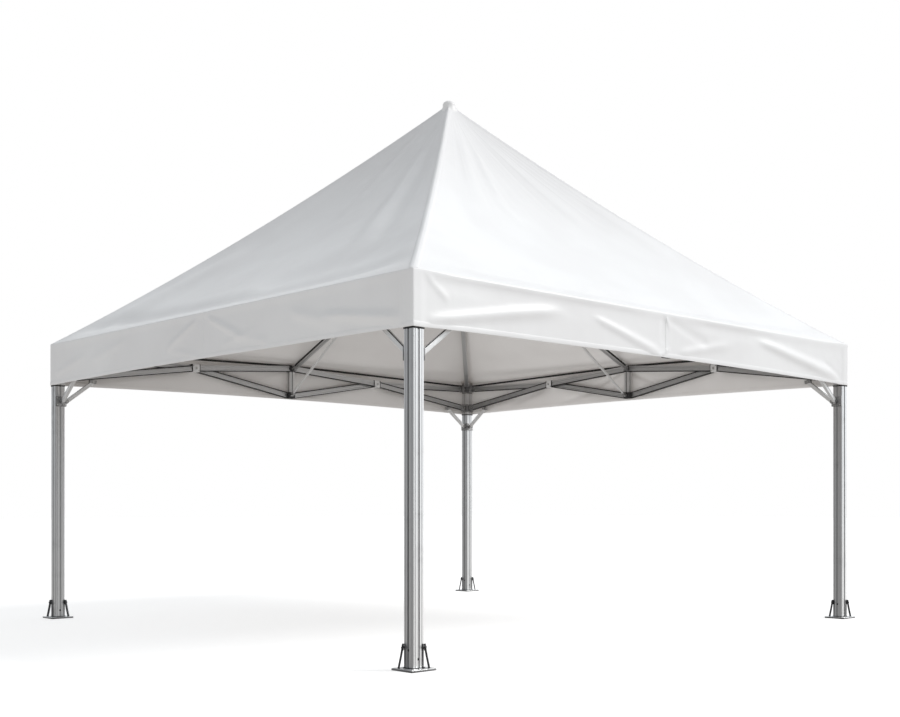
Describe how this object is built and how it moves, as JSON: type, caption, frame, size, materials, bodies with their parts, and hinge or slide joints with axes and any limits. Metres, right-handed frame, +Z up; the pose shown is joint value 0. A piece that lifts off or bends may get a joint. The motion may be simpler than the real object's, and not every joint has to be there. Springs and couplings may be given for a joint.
{
  "type": "marquee tent",
  "caption": "Square marquee tent: grooved aluminium legs on foot plates, eave trusses, hip rafters and struts, and a white peaked roof cover with valances.",
  "frame": {"origin": "on the ground at the centre of the plan, level with the undersides of the foot plates", "axes": "+Z up, +X and +Y square to the eaves; the front side faces -Y and the near corner of the picture is at -X, -Y"},
  "size_m": [5.095, 5.095, 4.58],
  "materials": {
    "frame_aluminium": "satin, drawn lengthwise",
    "bracket_alloy": "cast, dull",
    "foot_steel": "galvanised, dull",
    "cover_fabric": "coated white cloth with a soft sheen"
  },
  "bodies": {
    "root": {"leg_front_left": "frame_aluminium", "leg_front_right": "frame_aluminium", "leg_back_right": "frame_aluminium", "leg_back_left": "frame_aluminium", "foot_front_left": "foot_steel", "foot_front_right": "foot_steel", "foot_back_right": "foot_steel", "foot_back_left": "foot_steel", "leg_head_front_left": "bracket_alloy", "leg_head_front_right": "bracket_alloy", "leg_head_back_right": "bracket_alloy", "leg_head_back_left": "bracket_alloy", "leg_shoe_front_left": "bracket_alloy", "leg_shoe_front_right": "bracket_alloy", "leg_shoe_back_right": "bracket_alloy", "leg_shoe_back_left": "bracket_alloy", "knee_braces_front_left": "frame_aluminium", "knee_braces_front_right": "frame_aluminium", "knee_braces_back_right": "frame_aluminium", "knee_braces_back_left": "frame_aluminium", "hip_rafter_front_left": "frame_aluminium", "hip_rafter_front_right": "frame_aluminium", "hip_rafter_back_right": "frame_aluminium", "hip_rafter_back_left": "frame_aluminium", "side_truss_front": "frame_aluminium", "side_truss_right": "frame_aluminium", "side_truss_back": "frame_aluminium", "side_truss_left": "frame_aluminium", "roof_struts_front": "frame_aluminium", "roof_struts_right": "frame_aluminium", "roof_struts_back": "frame_aluminium", "roof_struts_left": "frame_aluminium", "roof_panel_front": "cover_fabric", "roof_panel_right": "cover_fabric", "roof_panel_back": "cover_fabric", "roof_panel_left": "cover_fabric", "valance_front": "cover_fabric", "valance_right": "cover_fabric", "valance_back": "cover_fabric", "valance_left": "cover_fabric", "king_post": "frame_aluminium", "crown_hub": "bracket_alloy", "lower_strut_hub": "bracket_alloy", "upper_strut_hub": "bracket_alloy", "peak_cap": "cover_fabric"}
  },
  "joints": []
}
